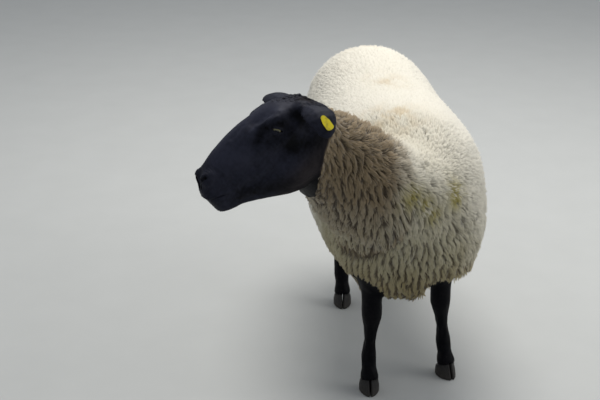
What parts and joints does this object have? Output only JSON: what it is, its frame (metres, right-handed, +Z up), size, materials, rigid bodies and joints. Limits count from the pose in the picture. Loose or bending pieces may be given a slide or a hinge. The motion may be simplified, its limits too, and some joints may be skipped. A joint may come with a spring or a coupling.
{
  "type": "sheep",
  "caption": "Standing black-faced, black-legged ewe in cream fleece, head turned over its right shoulder, with a plain yellow ear tag.",
  "frame": {"origin": "on the floor, under the middle of the whole animal's box", "axes": "+Z up; the body faces -Y and its left side is at +X; the head is turned towards -X"},
  "size_m": [0.8238, 1.3096, 0.9638],
  "materials": {
    "fleece": "matte wool",
    "black_hair": "short satin hair",
    "horn": "satin horn",
    "eye": "wet gloss",
    "tag": "satin plastic"
  },
  "bodies": {
    "root": {"barrel": "fleece", "claw_fore_left_inner": "horn", "claw_fore_left_outer": "horn", "claw_fore_right_inner": "horn", "claw_fore_right_outer": "horn", "claw_hind_left_inner": "horn", "claw_hind_left_outer": "horn", "claw_hind_right_inner": "horn", "claw_hind_right_outer": "horn", "ear_left": "black_hair", "ear_right": "black_hair", "ear_tag": "tag", "ear_tag_stud": "tag", "eye_left": "eye", "eye_right": "eye", "foreleg_left": "black_hair", "foreleg_right": "black_hair", "head": "black_hair", "hind_cannon_left": "black_hair", "hind_cannon_right": "black_hair", "hock_left": "black_hair", "hock_right": "black_hair", "lower_jaw": "black_hair", "muzzle": "black_hair", "neck": "fleece", "rump": "fleece", "shoulders": "fleece", "tail": "fleece", "thigh_left": "fleece", "thigh_right": "fleece"}
  },
  "joints": []
}
